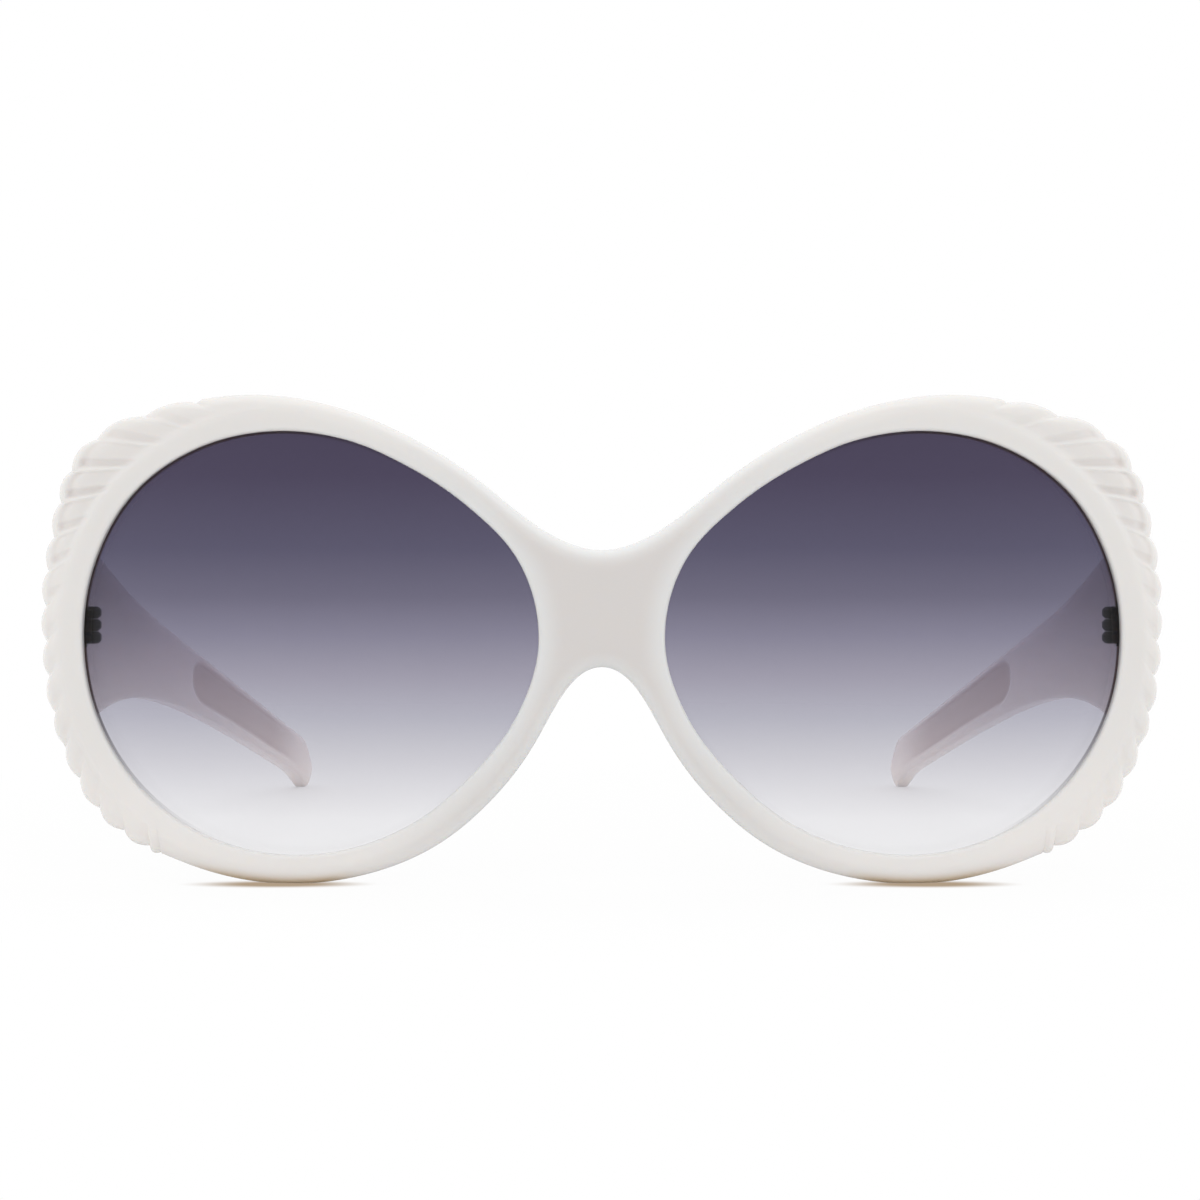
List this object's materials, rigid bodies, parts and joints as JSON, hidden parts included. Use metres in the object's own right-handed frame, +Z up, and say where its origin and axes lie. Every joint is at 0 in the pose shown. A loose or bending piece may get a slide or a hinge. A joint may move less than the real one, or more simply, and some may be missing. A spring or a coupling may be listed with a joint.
{
  "type": "sunglasses",
  "caption": "Oversized sunglasses with round gradient lenses, a milky moulded front with pleated, scalloped outer corners, and wide folding temples.",
  "frame": {"origin": "middle of the footprint, on the surface that the open glasses stand on", "axes": "+Z up, the front faces -Y, the temples run back along +Y, +X is the wearer's left"},
  "size_m": [0.1498, 0.1452, 0.0647],
  "materials": {
    "frame_plastic": "polished milky white acetate",
    "lens": "clear tinted plastic, dark at the top and pale at the bottom",
    "hinge_metal": "dark plated",
    "screw_metal": "dark plated"
  },
  "bodies": {
    "front": {"frame_front": "frame_plastic", "left_lens": "lens", "right_lens": "lens", "left_front_hinge": "hinge_metal", "right_front_hinge": "hinge_metal", "left_hinge_screw": "screw_metal", "right_hinge_screw": "screw_metal"},
    "left_arm": {"left_temple": "frame_plastic", "left_temple_hinge": "hinge_metal"},
    "right_arm": {"right_temple": "frame_plastic", "right_temple_hinge": "hinge_metal"}
  },
  "joints": [
    {"name": "left_temple_fold", "type": "hinge", "parent": "front", "child": "left_arm", "pos_m": [0.06926, -0.05899, 0.03394], "axis": [0, 0, 1], "range_deg": [0, 80]},
    {"name": "right_temple_fold", "type": "hinge", "parent": "front", "child": "right_arm", "pos_m": [-0.06926, -0.05899, 0.03394], "axis": [0, 0, -1], "range_deg": [0, 72]}
  ]
}
